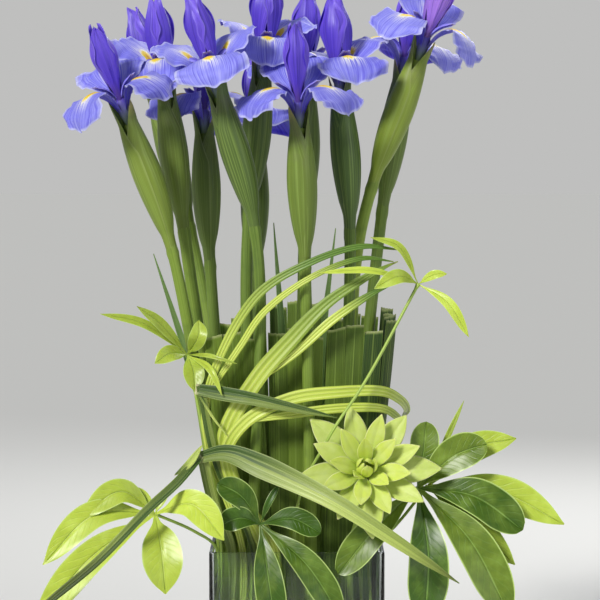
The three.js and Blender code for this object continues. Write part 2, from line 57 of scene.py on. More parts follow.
# How far the vase's corners, heel and lip are rounded, and in how many steps.
VASE_CORNER = (5, 8)
VASE_HEEL = (2, 4)
VASE_LIP = (1.4, 4)

# Where two faces meet at more degrees than this, as along a leaf's margin, the edge is crisp. A
# piece without crisp edges has 180.
MARGIN_ANGLE = 60


def rgb(red, green, blue):
    """A colour given by its screen values, in the linear values that shaders use."""
    linear = [((value / 255 + 0.055) / 1.055) ** 2.4 for value in (red, green, blue)]
    return (*linear, 1)


class Flow:
    """A socket among a material's nodes. Arithmetic on it adds Math nodes."""

    def __init__(self, tree, socket=None):
        self.tree = tree
        self.socket = socket

    def node(self, kind, settings=None, values=None, output=None):
        """Adds a node with its settings, then the values or links of its inputs."""
        node = self.tree.nodes.new(kind)
        for name, value in (settings or {}).items():
            setattr(node, name, value)
        for key, value in (values or {}).items():
            if isinstance(key, int):
                socket = node.inputs[key]
            else:
                socket = next(s for s in node.inputs if s.name == key and s.enabled)
            if isinstance(value, Flow):
                self.tree.links.new(value.socket, socket)
            else:
                socket.default_value = value
        found = [s for s in node.outputs if s.enabled and output in (None, s.name)]
        return Flow(self.tree, found[0]) if found else None

    def out(self, name):
        return Flow(self.tree, self.socket.node.outputs[name])

    def math(self, operation, *others):
        return self.node("ShaderNodeMath", {"operation": operation}, dict(enumerate((self, *others))))

    def __add__(self, other):
        return self.math("ADD", other)

    def __mul__(self, other):
        return self.math("MULTIPLY", other)

    def __sub__(self, other):
        return self.math("SUBTRACT", other)

    def __truediv__(self, other):
        return self.math("DIVIDE", other)

    def __pow__(self, other):
        return self.math("POWER", other)

    def __abs__(self):
        return self.math("ABSOLUTE")

    def __rsub__(self, other):
        return self.node("ShaderNodeMath", {"operation": "SUBTRACT"}, {0: other, 1: self})

    __radd__ = __add__
    __rmul__ = __mul__

    def smooth(self, low, high):
        """Rises smoothly from 0 where this value is low to 1 where it is high."""
        ease = {"interpolation_type": "SMOOTHSTEP"}
        return self.node("ShaderNodeMapRange", ease, {"Value": self, "From Min": low, "From Max": high})

    def mix(self, low, high):
        """A colour that goes from low to high as this value goes from 0 to 1."""
        values = {"Factor": self, "A": low, "B": high}
        return self.node("ShaderNodeMix", {"data_type": "RGBA"}, values, "Result")


def new_finish(name):
    finish = bpy.data.materials.new(name)
    finish.use_nodes = True
    finish.node_tree.nodes.clear()
    return finish, Flow(finish.node_tree)


def clear_finish(name, tint, ior, roughness):
    """A clear solid that lets the lamps shine on what stands inside it."""
    finish, flow = new_finish(name)
    body = flow.node(
        "ShaderNodeBsdfPrincipled",
        {},
        {"Base Color": tint, "Roughness": roughness, "IOR": ior, "Transmission Weight": 1},
    )
    passing = flow.node("ShaderNodeBsdfTransparent", {}, {"Color": tint})
    shadow = flow.node("ShaderNodeLightPath", {}, {}, "Is Shadow Ray")
    surface = flow.node("ShaderNodeMixShader", {}, {0: shadow, 1: body, 2: passing})
    flow.node("ShaderNodeOutputMaterial", {}, {"Surface": surface})
    return finish


def piece(name, bm, finishes, slot, *nodes, sharp=MARGIN_ANGLE):
    """Makes the finished piece of a bmesh in millimetres, which stands for the CAD nodes."""
    bmesh.ops.scale(bm, vec=(MM, MM, MM), verts=bm.verts)
    mesh = bpy.data.meshes.new(name)
    bm.to_mesh(mesh)
    bm.free()
    mesh.shade_smooth()
    mesh.set_sharp_from_angle(angle=math.radians(sharp))
    for finish in finishes:
        mesh.materials.append(finish)
    made = bpy.data.objects.new(name, mesh)
    bpy.context.scene.collection.objects.link(made)
    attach(made, "root")
    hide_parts(*nodes)


def bevel(bm, edges, offset, segments):
    bmesh.ops.bevel(
        bm, geom=edges, offset=offset, segments=segments, profile=0.5, affect="EDGES", material=-1
    )


def upright(edge):
    one, other = (vert.co for vert in edge.verts)
    return abs(one.z - other.z) > 0.9 * (one - other).length


def block(low, high):
    bm = bmesh.new()
    bmesh.ops.create_cube(bm, size=1)
    bmesh.ops.scale(bm, vec=high - low, verts=bm.verts)
    bmesh.ops.translate(bm, vec=(low + high) / 2, verts=bm.verts)
    return bm


low, high = (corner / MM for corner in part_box("vase"))
bm = block(low, high)
bevel(bm, [edge for edge in bm.edges if upright(edge)], *VASE_CORNER)
lid = [face for face in bm.faces if face.normal.z > 0.9]
bmesh.ops.delete(bm, geom=lid, context="FACES_ONLY")
heel = [edge for edge in bm.edges if all(vert.co.z < low.z + 1 for vert in edge.verts)]
bevel(bm, heel, *VASE_HEEL)
bmesh.ops.recalc_face_normals(bm, faces=bm.faces)
outside = set(bm.verts)
bmesh.ops.solidify(bm, geom=bm.faces[:], thickness=VASE_WALL)
inner_floor = [vert for vert in bm.verts if vert not in outside and vert.co.z < low.z + 2 * VASE_WALL]
bmesh.ops.translate(bm, vec=(0, 0, VASE_FLOOR - VASE_WALL), verts=inner_floor)
lip = [
    edge
    for edge in bm.edges
    if all(vert.co.z > high.z - 0.5 for vert in edge.verts) and edge.calc_face_angle(0) > 1
]
bevel(bm, lip, *VASE_LIP)
glass = clear_finish("clear_glass", tint=rgb(240, 247, 244), ior=1.48, roughness=0.01)
piece("glass_vase", bm, [glass], "vase_glass", "vase", sharp=50)

# ---- Water ----
# Clear water fills the vase to about two thirds. Its surface creeps up the glass in a low meniscus,
# and the stems and blades stand in it.

WATER_CORNER = (2, 4)
MENISCUS_WIDTH = 3
MENISCUS_STEPS = (-0.9, -0.4, -0.1)

bm = block(*(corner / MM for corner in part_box("water")))
bevel(bm, [edge for edge in bm.edges if upright(edge)], *WATER_CORNER)
top = [face for face in bm.faces if face.normal.z > 0.9]
for depth in MENISCUS_STEPS:
    thickness = MENISCUS_WIDTH / len(MENISCUS_STEPS)
    bmesh.ops.inset_region(bm, faces=top, thickness=thickness, depth=depth)
water = clear_finish("clear_water", tint=rgb(238, 246, 240), ior=1.33, roughness=0)
piece("still_water", bm, [water], "water", "water", sharp=40)

# ---- Iris stems ----
# Each iris is a smooth round stem with a ring at its top node. Above it two long pointed bracts of
# green leaf tissue wrap the bloom's tube, one over the other, and part at the tips.

RIM = 150
STEM_FOOT = 8.3
STEM_RADIUS = 5.4
STEM_TAPER = 0.08

# The ring at the top node: how far below the bloom it is, its height and its length.
NODE_BELOW = 118
RING_HEIGHT = 0.7
RING_LENGTH = 4

# The bracts' radius is greatest this far below their mouth, and they close this far below it.
BRACT_RADIUS = 12.5
BRACT_MOUTH_RADIUS = 8
BRACT_WIDEST = 46
BRACT_FADE = 75
BRACT_CLOSING = 26
BRACT_TIP = 33

# Each bract's start and tip, its lift off the other, and how far round the tube it goes.
INNER_BRACT = (NODE_BELOW - 4, 0.6 * BRACT_TIP, -0.2, math.radians(132))
OUTER_BRACT = (NODE_BELOW, BRACT_TIP, 0.5, math.radians(120))

# Where a stem stands on the floor and at the rim, where it bends and where its bloom sits, how far
# the bloom is turned and its falls reach, and a tone from 0, dark and bluish, to 1, light and yellow.
Iris = namedtuple("Iris", "foot rim knee neck yaw reach tone")
IRISES = [
    Iris((-50, -14), (-65, -20), (-110, -34, 416), (-144, -45, 515), -27, 40, 0.8),
    Iris((-46, 6), (-60, 2), (-98, 2, 416), (-113, 6, 536), -100, 38, 0.6),
    Iris((-34, 46), (-48, 46), (-94, 76, 412), (-126, 98, 535), 40, 35, 0.5),
    Iris((-36, -60.5), (-38, -60.5), (-34, -66, 412), (-66, -70, 537), -88, 40, 0.22),
    Iris((-24, -8), (-34, -12), (-44, -13, 385), (-31, -15, 555), -82, 36, 0.2),
    Iris((2, 38), (2, 44), (6, 48, 400), (8, 50, 543), 80, 42, 0.3),
    Iris((10, -60.5), (12, -60.5), (7, -70, 390), (2, -78, 511), -30, 42, 0.55),
    Iris((24, -16), (34, -22), (46, -22, 410), (38, -20, 537), -70, 37, 0.1),
    Iris((40, 2), (50, 2), (54, 2, 412), (105, -12, 570), -21, 41, 1.0),
    Iris((34, 30), (46, 36), (75, 54, 430), (93, 62, 554), 80, 42, 0.4),
    Iris((-42, 26), (-57, 24), (-77, 46, 385), (-82, 52, 507), 107, 42, 0.35),
    Iris((-18, 30), (-28, 34), (-38, 66, 376), (-38, 92, 493), -84, 38, 0.3),
]


class Spine:
    """A smooth line through points, read by the share of its length."""

    def __init__(self, *points):
        inner = [Vector(point) for point in points]
        knots = [2 * inner[0] - inner[1], *inner, 2 * inner[-1] - inner[-2]]
        self.line = [inner[0]]
        for a, b, c, d in zip(knots, knots[1:], knots[2:], knots[3:]):
            before, within, after = ((q - p).length ** 0.5 for p, q in ((a, b), (b, c), (c, d)))
            leave = c - b + within * ((b - a) / before - (c - a) / (before + within))
            arrive = c - b + within * ((d - c) / after - (d - b) / (within + after))
            self.line += interpolate_bezier(b, b + leave / 3, c - arrive / 3, c, 25)[1:]
        self.marks = [0]
        for one, other in zip(self.line, self.line[1:]):
            self.marks.append(self.marks[-1] + (other - one).length)
        self.length = self.marks[-1]

    def at(self, share):
        where = min(max(share, 0), 1) * self.length
        index = min(bisect.bisect_right(self.marks, where), len(self.line) - 1)
        start, end = self.marks[index - 1], self.marks[index]
        return self.line[index - 1].lerp(self.line[index], (where - start) / (end - start))

    def heading(self, share):
        return (self.at(share + 0.012) - self.at(share - 0.012)).normalized()


def leafwork():
    """A bmesh whose points carry a tint and whose faces carry a map across and along each leaf."""
    bm = bmesh.new()
    bm.loops.layers.uv.new("grain")
    bm.verts.layers.float.new("tint")
    return bm


def grid(bm, columns, rows, place, tint, finish):
    """A grid with each point at place(u, v), u from -1 to 1 across and v from 0 to 1 along."""
    points = bmesh.ops.create_grid(bm, x_segments=columns, y_segments=rows, size=1, calc_uvs=True)["verts"]
    faces = {face for point in points for face in point.link_faces}
    shares = {point: (point.co.x, (point.co.y + 1) / 2) for point in points}
    layer = bm.verts.layers.float["tint"]
    for point, (u, v) in shares.items():
        point.co = place(u, v)
        point[layer] = tint
    for face in faces:
        face.material_index = finish
        face.normal_update()
    for point in points:
        point.normal_update()
    return shares, faces


def sheet(bm, columns, rows, place, depth, tint=0.5, finish=0, under=None):
    """A leaf with two faces about the middle that place(u, v) gives, closed along its edges."""
    shares, faces = grid(bm, columns, rows, place, tint, finish)
    edges = {edge for face in faces for edge in face.edges}
    copy = bmesh.ops.duplicate(bm, geom=[*shares, *edges, *faces])
    twins = copy["vert_map"]
    for point, (u, v) in shares.items():
        thick = depth(u, v) if callable(depth) else depth
        shift = point.normal * thick * (1 - u**6) * (1 - (2 * v - 1) ** 20) / 2
        twins[point].co -= shift
        point.co += shift
    back = [item for item in copy["geom"] if isinstance(item, bmesh.types.BMFace)]
    bmesh.ops.reverse_faces(bm, faces=back)
    if under is not None:
        for face in faces:
            face.material_index = under
    bmesh.ops.remove_doubles(bm, verts=[*shares, *(twins[point] for point in shares)], dist=0.002)


def tube(bm, spine, radius, rows, sides=20, tint=0.5, finish=0):
    """A closed stalk along a spine, where radius(v, turn) gives its outline."""

    def place(u, v):
        ahead = spine.heading(v)
        front = ahead.cross(Vector((1, 0, 0))).normalized()
        side = front.cross(ahead)
        turn = math.pi * u
        return spine.at(v) + radius(v, turn) * (math.cos(turn) * side + math.sin(turn) * front)

    shares, faces = grid(bm, sides, rows, place, tint, finish)
    edges = {edge for face in faces for edge in face.edges}
    seam = [point for point, (u, v) in shares.items() if abs(u) > 0.999]
    ends = [edge for edge in edges if edge.is_boundary and len({shares[p][1] for p in edge.verts}) == 1]
    bmesh.ops.remove_doubles(bm, verts=seam, dist=0.002)
    bmesh.ops.holes_fill(bm, edges=[edge for edge in ends if edge.is_valid], sides=0)


def ease(value, low, high):
    share = min(max((value - low) / (high - low), 0), 1)
    return share * share * (3 - 2 * share)


def stem_spine(iris):
    return Spine((*iris.foot, STEM_FOOT), (*iris.rim, RIM), iris.knee, iris.neck)


def bract_swell(below):
    """The bracts' radius at a distance below their mouth."""
    if below > BRACT_WIDEST:
        return max(BRACT_RADIUS * (1 - ((below - BRACT_WIDEST) / BRACT_FADE) ** 2), STEM_RADIUS + 0.3)
    return BRACT_RADIUS - (BRACT_RADIUS - BRACT_MOUTH_RADIUS) * (1 - below / BRACT_WIDEST) ** 1.6


def iris_stem(number, iris):
    spine = stem_spine(iris)
    bm = leafwork()
    dice = random.Random(number)
    girth = dice.uniform(0.94, 1.04)

    # The bracts' tips stand between two falls, with as little turning as that takes.
    between = [math.radians(iris.yaw + turn) for turn in (60, 180, 300)]
    clear = [(turn, side) for turn in between for side in (1, -1) if side * math.cos(turn) > 0]
    turned = [(side, math.asin(side * math.sin(turn))) for turn, side in clear]
    long_side, spin = min(turned, key=lambda choice: abs(choice[1]))

    def stem_radius(v, turn):
        below = (1 - v) * spine.length
        ring = RING_HEIGHT * math.exp(-(((below - NODE_BELOW) / RING_LENGTH) ** 2))
        ribs = 0.07 * math.cos(7 * turn)
        return girth * STEM_RADIUS * (1 - STEM_TAPER * v) + ring + ribs

    tube(bm, spine, stem_radius, 110, tint=iris.tone)

    def bract(side, start, tip, lift, half_turn):
        def place(u, v):
            below = start + (-tip - start) * v
            share = 1 - below / spine.length
            ahead = spine.heading(min(share, 1))
            front = ahead.cross(Vector((1, 0, 0))).normalized()
            across = front.cross(ahead)
            closing = min(max((BRACT_CLOSING - below) / (BRACT_CLOSING + tip), 0), 1)
            turn = u * half_turn * (1 - closing) ** 0.85 + spin + (0 if side > 0 else math.pi)
            over = max(-below, 0)
            radius = bract_swell(max(below, 0)) + lift + 0.06 * over + 0.001 * over * over
            radius -= 0.9 * u**4 * max(lift, 0) - 0.25 * math.sin(3 * u + spin) * ease(below, start, 60)
            slim = 0.94 * girth * STEM_RADIUS
            radius = slim + (radius - slim) * ease(below, start + 1, start - 26)
            out = math.cos(turn) * across + math.sin(turn) * front
            return spine.at(min(share, 1)) + ahead * over + radius * out

        sheet(bm, 26, 44, place, lambda u, v: 0.55 * ease(v, 0, 0.15), tint=iris.tone, finish=1)

    bract(-long_side, *INNER_BRACT)
    bract(long_side, *OUTER_BRACT)
    finishes = [STEM_FINISH, BRACT_FINISH]
    piece(f"stem_{number:02d}", bm, finishes, "iris_stem", f"iris_{number:02d}_stem")


def leaf_finish(name):
    """A new finish that reads how far across a leaf, -1 to 1, and along it, 0 to 1, and its tint."""
    finish, flow = new_finish(name)
    position = flow.node("ShaderNodeUVMap", {"uv_map": "grain"})
    parts = flow.node("ShaderNodeSeparateXYZ", {}, {"Vector": position}, "X")
    tint = flow.node("ShaderNodeAttribute", {"attribute_name": "tint"}, {}, "Fac")
    return finish, flow, 2 * parts - 1, parts.out("Y"), tint


def streaks(flow, across, along, tint, fine, long=1.0, detail=3):
    """Uneven lines that run along a leaf: fine of them across it."""
    vector = flow.node("ShaderNodeCombineXYZ", {}, {"X": across * fine, "Y": along * long, "Z": tint * 37})
    return flow.node("ShaderNodeTexNoise", {}, {"Vector": vector, "Scale": 1, "Detail": detail}, "Fac")


def blotches(flow, size):
    """Soft uneven patches fixed in the object's own space."""
    place = flow.node("ShaderNodeTexCoord", {}, {}, "Object")
    return flow.node("ShaderNodeTexNoise", {}, {"Vector": place, "Scale": 1 / size, "Detail": 3}, "Fac")


def living(flow, colour, roughness, height, relief, soft=0.12, glow=(0.3, 0.5, 0.1), coat=0.0):
    """Moist plant tissue with a fine relief, which light enters a little way."""
    values = {
        "Base Color": colour,
        "Roughness": roughness,
        "Normal": flow.node("ShaderNodeBump", {}, {"Height": height, "Strength": 0.6, "Distance": relief}),
        "Subsurface Weight": soft,
        "Subsurface Radius": glow,
        "Subsurface Scale": 0.004,
        "Coat Weight": coat,
        "Coat Roughness": 0.25,
        "IOR": 1.4,
    }
    surface = flow.node("ShaderNodeBsdfPrincipled", {}, values)
    flow.node("ShaderNodeOutputMaterial", {}, {"Surface": surface})


STEM_FINISH, flow, across, along, tint = leaf_finish("stem_skin")
lines = streaks(flow, across, along, tint, 26, 3)
ripe = tint * 0.7 + along.smooth(0.75, 0.1) * 0.35
colour = ripe.mix(rgb(70, 98, 34), rgb(146, 170, 62))
colour = (lines.smooth(0.35, 0.75) * 0.35).mix(colour, rgb(176, 200, 96))
colour = (blotches(flow, 0.02).smooth(0.5, 0.75) * 0.3).mix(colour, rgb(66, 92, 44))
living(flow, colour, 0.42 + 0.15 * lines, lines, 0.0006)

BRACT_FINISH, flow, across, along, tint = leaf_finish("bract_skin")
lines = streaks(flow, across, along, tint, 22, 1.2)
colour = tint.mix(rgb(56, 84, 38), rgb(134, 154, 54))
colour = (lines.smooth(0.42, 0.7) * 0.35).mix(colour, rgb(156, 182, 92))
colour = (lines.smooth(0.42, 0.25) * 0.35).mix(colour, rgb(58, 88, 40))
flush = blotches(flow, 0.018).smooth(0.42, 0.7) * along.smooth(0.45, 1) * 0.5
colour = flush.mix(colour, rgb(104, 92, 84))
margin = abs(across).smooth(0.93, 1)
colour = (margin * 0.3).mix(colour, rgb(186, 200, 128))
colour = (along.smooth(0.88, 0.99) * 0.7).mix(colour, rgb(192, 172, 118))
living(flow, colour, 0.4 + 0.15 * lines, lines, 0.0005, coat=0.15)

for number, iris in enumerate(IRISES, 1):
    iris_stem(number, iris)

# ---- Iris blooms ----
# A bloom's green tube stands in the bracts. Three violet standards close upright over its heart,
# three style arms arch out between them, and under each arm a broad ruffled fall hangs down, with a
# yellow signal patch where it bends.

TUBE_RADIUS = 3.2
TUBE_AXIS = (-14, 0, 14, 28)
REACH = 1.1
FALL_WIDTH = 58
FALL_OUTLINE = (0.1, 0.18, 0.3, 0.54, 0.86, 1.05, 1.1, 1, 0.66)
FALL_THICKNESS = 0.5
ARM_THICKNESS = 0.7
STANDARD_THICKNESS = 0.6
ARM_PATH = ((1.5, 24), (8, 33), (14, 37.5), (21, 39.5))
ARM_OUTLINE = (3, 7, 10, 11, 7)
STANDARD_HEIGHT = 92
STANDARD_OUTLINE = (5, 7, 12, 19, 26, 29, 26, 16, 2)

# How far a bloom's rear falls still rise, as on one that opened this morning. The blooms at the back
# are older, and theirs hang.
FALL_LIFT = 34

# The one bloom of a pinker violet, and how far each bloom's standards are unfurled.
ROSY = 9
FURLED = (0.7, 0.86, 0.84, 0.84, 1.0, 0.86, 0.68, 0.95, 0.84, 0.86, 0.76, 0.76)


def outline(widths, scale=1):
    """Widths at even steps along a leaf, eased from one to the next."""
    ends = [2 * widths[0] - widths[1], *widths, 2 * widths[-1] - widths[-2]]

    def width(share):
        place = min(max(share, 0), 1) * (len(widths) - 1)
        index = min(int(place), len(widths) - 2)
        t = place - index
        a, b, c, d = ends[index : index + 4]
        curve = b + 0.5 * t * (c - a + t * (2 * a - 5 * b + 4 * c - d + t * (3 * (b - c) + d - a)))
        return scale * max(curve, 0.04)

    return width


def leaf_place(spine, width, side, cup=0.0, ripple=None, rounding=0.0, crease=0.0):
    """Where a leaf's middle lies: side is its direction across, or gives it for a heading."""

    def place(u, v):
        share = v * (1 - rounding * u * u)
        ahead = spine.heading(share)
        across = side(ahead) if callable(side) else side
        across = (across - ahead * across.dot(ahead)).normalized()
        up = ahead.cross(across)
        half = width(share) / 2
        rise = cup * half * u * u + crease * half * abs(u)
        if ripple:
            rise += ripple(u, v)
        return spine.at(share) + across * (u * half) + up * rise

    return place


def iris_bloom(number, iris):
    dice = random.Random(100 + number)
    bm = leafwork()
    neck = Vector(iris.neck)
    pose = Vector((0, 0, 1)).rotation_difference(stem_spine(iris).heading(0.999))
    reach = REACH * iris.reach
    shade = 1.0 if number == ROSY else dice.uniform(0.1, 0.7)

    def radial(turn, path):
        out = Vector((math.cos(turn), math.sin(turn), 0))
        points = [out * radius + Vector((0, 0, height)) for radius, height in path]
        side = Vector((-math.sin(turn), math.cos(turn), 0))
        return Spine(*(neck + pose @ point for point in points)), pose @ side

    axis = Spine(*(neck + pose @ Vector((0, 0, height)) for height in TUBE_AXIS))

    def tube_radius(v, turn):
        return TUBE_RADIUS + 2 * ease(v, 0.3, 0.65) - 3.5 * ease(v, 0.75, 1)

    tube(bm, axis, tube_radius, 24, sides=12, tint=shade, finish=3)
    furled = FURLED[number - 1]
    fresh = FALL_LIFT * (1 - 0.8 * ease(neck.y, 0, 50))
    for third in range(3):
        turn = math.radians(iris.yaw + 120 * third)
        phase = dice.uniform(0, 6.28)
        drop = dice.uniform(-1, 1.2)
        lift = fresh * ease(math.sin(turn), -0.2, 0.6) * dice.uniform(0.75, 1.05)
        arch = [(3.5, 11), (9, 25), (0.42 * reach, 34 + 0.2 * lift), (0.72 * reach, 33 + 0.6 * lift)]
        hang = [(reach - 0.1 * lift, 20 + drop + 1.15 * lift), (1.05 * reach, 8 + drop + 1.65 * lift)]
        spine, side = radial(turn, arch + hang)

        def ruffle(u, v):
            edge = abs(u) ** 2 * ease(v, 0.3, 0.55)
            wave = 2.4 * math.sin(10 * v + phase + (1.3 if u > 0 else 0))
            wave += 1.3 * math.sin(27 * v + 3 * phase + 2 * u) + 0.6 * math.sin(49 * v + 4 * u)
            hem = ease(v, 0.72, 1) ** 2 * (1.4 * math.sin(6 * u + phase) + 0.7 * math.sin(15 * u + 2 * phase))
            rib = 0.9 * math.exp(-((u / 0.13) ** 2)) * ease(v, 0.15, 0.4) * ease(v, 0.75, 0.5)
            return edge * wave + hem + rib

        width = outline(FALL_OUTLINE, FALL_WIDTH)
        flat_fall = leaf_place(spine, width, side, cup=-0.1, ripple=ruffle, rounding=0.15)

        def fall(u, v):
            return flat_fall(u, v * (1 - 0.012 * (1 + math.sin(11 * u + phase)) * ease(v, 0.6, 1)))

        sheet(bm, 28, 44, fall, FALL_THICKNESS, tint=shade, finish=0, under=4)

        spine, side = radial(turn, ARM_PATH)

        def crest(u, v):
            return (2.5 * u * u + 0.5 * math.sin(12 * u + phase)) * ease(v, 0.7, 1) - 1.5 * u * u * (1 - v)

        arm = leaf_place(spine, outline(ARM_OUTLINE), side, cup=-0.25, ripple=crest, rounding=-0.12)
        sheet(bm, 12, 18, arm, ARM_THICKNESS, tint=shade, finish=2)

        height = STANDARD_HEIGHT + dice.uniform(-4, 0)
        lean = dice.uniform(-1.5, 1.5)
        rise = [(3, 18), (9 * furled, 0.4 * height), (13 * furled, 0.68 * height), (4 + lean, height)]
        spine, side = radial(turn + math.pi / 3, rise)

        def flute(u, v):
            fold = 0.5 * math.sin(5 * u + phase + 2 * v) * ease(v, 0.2, 0.5)
            edge = 1.3 * abs(u) ** 3 * math.sin(17 * v + phase) * ease(v, 0.3, 0.6)
            tip = 1.5 * math.sin(4 * u + phase) * ease(v, 0.85, 1)
            return fold + edge + tip - 1.2 * math.exp(-((u / 0.12) ** 2)) * ease(v, 0.1, 0.4)

        wide = outline(STANDARD_OUTLINE, 0.2 + 0.85 * furled)
        standard = leaf_place(spine, wide, side, cup=0.55, ripple=flute, rounding=0.05)
        sheet(bm, 20, 34, standard, STANDARD_THICKNESS, tint=shade, finish=1)
    finishes = [FALL_FINISH, STANDARD_FINISH, ARM_FINISH, TUBE_FINISH, UNDERSIDE_FINISH]
    piece(f"bloom_{number:02d}", bm, finishes, "iris_petal", f"iris_{number:02d}_bloom")


# Light goes deeper into a petal than into a leaf, and comes out bluer.
PETAL = {"soft": 0.25, "glow": (0.4, 0.35, 0.9)}
SPOT_PLACE = 0.46
SPOT_SIZE = (0.22, 0.17)

FALL_FINISH, flow, across, along, tint = leaf_finish("fall_petal")
reach = abs(across)
veins = streaks(flow, across, along, tint, 34, 1.6, detail=2)
colour = (tint * 0.5 + along * 0.3).mix(rgb(122, 120, 236), rgb(150, 152, 246))
colour = (veins.smooth(0.5, 0.62) * 0.55).mix(colour, rgb(90, 84, 216))
colour = (veins.smooth(0.46, 0.32) * 0.4).mix(colour, rgb(186, 190, 255))
# The margin and tip are pale: partly the petal's own paler rim, partly a painted highlight.
edge = reach.smooth(0.86, 0.99).math("MAXIMUM", along.smooth(0.955, 0.995))
colour = (edge * 0.65).mix(colour, rgb(212, 214, 255))
rays = veins.smooth(0.56, 0.44) * along.smooth(0.8, 0.6) * reach.smooth(0.5, 0.1)
colour = (rays * along.smooth(0.3, 0.5) * 0.85).mix(colour, rgb(240, 240, 250))
haft = along.smooth(0.4, 0.25)
colour = haft.mix(colour, veins.smooth(0.4, 0.6).mix(rgb(176, 176, 190), rgb(98, 84, 196)))
spot = ((across / SPOT_SIZE[0]) ** 2 + ((along - SPOT_PLACE) / SPOT_SIZE[1]) ** 2).math("SQRT")
colour = (spot + (veins - 0.5)).smooth(1.2, 0.95).mix(colour, rgb(246, 242, 228))
colour = (spot + (veins - 0.5)).smooth(0.98, 0.75).mix(colour, rgb(250, 216, 50))
colour = spot.smooth(0.6, 0.1).mix(colour, rgb(240, 166, 40))
living(flow, colour, 0.5, veins, 0.0006, **PETAL)

UNDERSIDE_FINISH, flow, across, along, tint = leaf_finish("petal_underside")
veins = streaks(flow, across, along, tint, 30, 1.4, detail=2)
colour = (tint * 0.6 + along * 0.2).mix(rgb(84, 72, 206), rgb(104, 94, 226))
colour = (veins.smooth(0.48, 0.64) * 0.6).mix(colour, rgb(58, 44, 168))
colour = (abs(across).smooth(0.3, 0.0) * 0.4).mix(colour, rgb(120, 128, 190))
colour = (abs(across).smooth(0.9, 1) * 0.6).mix(colour, rgb(176, 178, 250))
living(flow, colour, 0.5, veins, 0.0006, **PETAL)

STANDARD_FINISH, flow, across, along, tint = leaf_finish("standard_petal")
veins = streaks(flow, across, along, tint, 13, 0.7)
fine = streaks(flow, across, along, tint, 40, 1.5, detail=2)
colour = (abs(across).smooth(0.15, 0.95) * 0.6).mix(rgb(84, 60, 196), rgb(122, 94, 238))
colour = (along.smooth(0.5, 1) * 0.4).mix(colour, rgb(136, 110, 246))
colour = (tint.smooth(0.75, 1) * 0.75).mix(colour, rgb(184, 136, 238))
colour = (veins.smooth(0.5, 0.75) * 0.6).mix(colour, rgb(60, 40, 152))
colour = (veins.smooth(0.46, 0.28) * 0.4).mix(colour, rgb(140, 110, 244))
colour = (fine.smooth(0.5, 0.68) * 0.25).mix(colour, rgb(66, 48, 170))
colour = (along.smooth(0.35, 0.1) * 0.55).mix(colour, rgb(92, 66, 122))
edge = abs(across).smooth(0.93, 1).math("MAXIMUM", along.smooth(0.97, 1))
colour = (edge * 0.25).mix(colour, rgb(176, 160, 250))
living(flow, colour, 0.42, veins, 0.0007, soft=0.2, glow=(0.4, 0.3, 0.9), coat=0.1)

ARM_FINISH, flow, across, along, tint = leaf_finish("style_arm")
veins = streaks(flow, across, along, tint, 10, 0.8)
colour = abs(across).smooth(0.1, 0.9).mix(rgb(92, 74, 206), rgb(150, 144, 246))
colour = (along.smooth(0.75, 1) * 0.6).mix(colour, rgb(186, 188, 255))
colour = (veins.smooth(0.5, 0.7) * 0.4).mix(colour, rgb(84, 66, 196))
living(flow, colour, 0.5, veins, 0.0005, **PETAL)

TUBE_FINISH, flow, across, along, tint = leaf_finish("bloom_tube")
veins = streaks(flow, across, along, tint, 9, 0.8)
colour = along.smooth(0.2, 0.9).mix(rgb(122, 150, 76), rgb(98, 84, 190))
colour = (veins.smooth(0.5, 0.7) * 0.5).mix(colour, rgb(80, 74, 120))
living(flow, colour, 0.5, veins, 0.0005)

for number, iris in enumerate(IRISES, 1):
    iris_bloom(number, iris)

# ---- Iris leaves ----
# Slender channelled leaves of the irises themselves stand among the stems, each tapering to a point.

IRIS_LEAVES = {
    "left": [(-63.5, -9), (-78, -12, 250), (-97, -14, 318), (-124, -26, 403)],
    "middle": [(-8, -27), (-10, -32, 240), (-12, -36, 320), (-20, -34, 430)],
    "right": [(14, 3), (18, 6, 240), (22, 10, 320), (34, 12, 424)],
}
IRIS_LEAF_WIDTHS = (8, 9, 10, 9, 6, 0.8)
IRIS_LEAF_THICKNESS = 0.9
UNDER_RIM = 0.9 * RIM
FORWARD = (0, -1, 0)


def facing(*direction):
    """The direction across a leaf whose face looks the given way."""
    return lambda ahead: Vector(direction).cross(ahead)


def shaded_below_rim(flow, colour):
    """The colour of leaves that stand in the vase, with painted shade below its rim: darker and olive there.
    """
    place = flow.node("ShaderNodeTexCoord", {}, {}, "Object")
    height = flow.node("ShaderNodeSeparateXYZ", {}, {"Vector": place}, "Z")
    shade = height.smooth(1.15 * RIM * MM, UNDER_RIM * MM) * 0.75
    return shade.mix(colour, rgb(58, 72, 14))


def blade_finish(name, dark, light, line, fine=16):
    """Tough leaf tissue ribbed along its length."""
    finish, flow, across, along, tint = leaf_finish(name)
    lines = streaks(flow, across, along, tint, fine, 2.5)
    colour = (tint * 0.8 + blotches(flow, 0.03) * 0.3).mix(dark, light)
    colour = (lines.smooth(0.45, 0.72) * 0.5).mix(colour, line)
    colour = (lines.smooth(0.45, 0.25) * 0.45).mix(colour, dark)
    edge = abs(across).smooth(0.88, 1)
    # Below the vase's rim the colour takes painted shade.
    colour = shaded_below_rim(flow, (edge * 0.4).mix(colour, line))
    living(flow, colour, 0.42 + 0.15 * lines, lines, 0.0008, coat=0.1)
    return finish


LEAF_FINISH = blade_finish("iris_leaf_skin", rgb(62, 98, 50), rgb(126, 160, 84), rgb(166, 190, 122))
for name, (foot, *bends) in IRIS_LEAVES.items():
    bm = leafwork()
    spine = Spine((*foot, STEM_FOOT), (*foot, UNDER_RIM), *bends)
    place = leaf_place(spine, outline(IRIS_LEAF_WIDTHS), facing(*FORWARD), cup=0.15, crease=0.12)
    sheet(bm, 8, 90, place, IRIS_LEAF_THICKNESS, tint=0.5)
    piece(f"slim_leaf_{name}", bm, [LEAF_FINISH], "iris_leaf", f"iris_leaf_{name}")

